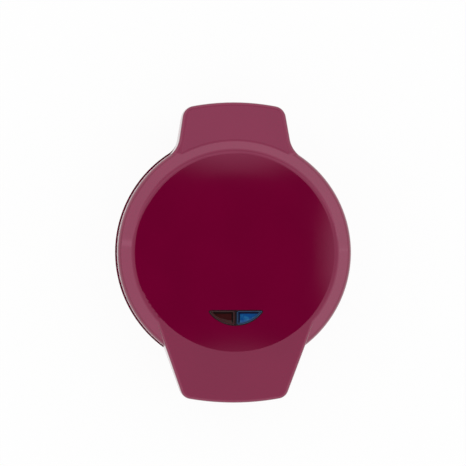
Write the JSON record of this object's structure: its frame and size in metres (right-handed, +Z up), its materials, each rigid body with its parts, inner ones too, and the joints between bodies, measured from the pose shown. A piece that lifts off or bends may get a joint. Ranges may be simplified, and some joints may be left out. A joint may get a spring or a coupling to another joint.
{
  "type": "cake pop maker",
  "caption": "Round countertop cake pop cooker: hinged lid, front handle, lamp window, and facing heated plates of half-round cavities.",
  "frame": {"origin": "middle of the footprint on the surface that the feet stand on", "axes": "+Z up, front handle towards -Y, hinge and cord gland towards +Y, +X to the right seen from the front"},
  "size_m": [0.212, 0.269, 0.101],
  "materials": {
    "plum_plastic": "satin-gloss moulded plastic",
    "black_plastic": "matt moulded plastic",
    "coated_aluminium": "cast, with a dark non-stick coating",
    "sheet_aluminium": "plain rolled sheet",
    "heater_sheath": "heat-darkened tube",
    "ceramic": "unglazed",
    "steel": "zinc-plated",
    "sensor_body": "moulded resin",
    "lamp_rim": "moulded, semi-gloss",
    "red_lens": "dark clear plastic",
    "blue_lens": "clear plastic",
    "lamp_glass": "clear",
    "rubber": "matt",
    "block_plastic": "moulded",
    "harness_sleeve": "woven sleeve",
    "lead_insulation": "silicone",
    "earth_insulation": "silicone"
  },
  "bodies": {
    "base": {"base_shell": "plum_plastic", "base_frame": "black_plastic", "base_screws": "steel", "rubber_feet": "rubber", "cord_gland": "black_plastic", "left_hinge_pin": "steel", "right_hinge_pin": "steel", "lower_plate": "coated_aluminium", "lower_heater": "heater_sheath", "lower_heater_bushes": "ceramic", "lower_heater_clips": "steel", "lower_clip_screws": "steel", "lower_reflector": "sheet_aluminium", "lower_plate_screws": "steel", "thermostat": "sensor_body", "thermostat_screws": "steel", "terminal_block": "block_plastic", "terminal_screws": "steel", "base_harness": "harness_sleeve", "lower_heater_leads": "lead_insulation", "thermostat_leads": "lead_insulation", "earth_lead": "earth_insulation"},
    "lid": {"lid_shell": "plum_plastic", "lid_frame": "black_plastic", "lid_screws": "steel", "upper_plate": "coated_aluminium", "upper_heater": "heater_sheath", "upper_heater_bushes": "ceramic", "upper_heater_clips": "steel", "upper_clip_screws": "steel", "upper_reflector": "sheet_aluminium", "upper_plate_screws": "steel", "thermal_cutout": "sensor_body", "cutout_screws": "steel", "lamp_bezel": "lamp_rim", "power_lens": "red_lens", "ready_lens": "blue_lens", "lamp_housing": "black_plastic", "lamp_housing_screws": "steel", "power_lamp": "lamp_glass", "ready_lamp": "lamp_glass", "lid_harness": "harness_sleeve", "upper_heater_lead": "lead_insulation", "cutout_leads": "lead_insulation", "lamp_leads": "lead_insulation"}
  },
  "joints": [
    {"name": "lid_hinge", "type": "hinge", "parent": "base", "child": "lid", "pos_m": [0, 0.11988, 0.057], "axis": [-1, 0, 0], "range_deg": [0, 100]}
  ]
}
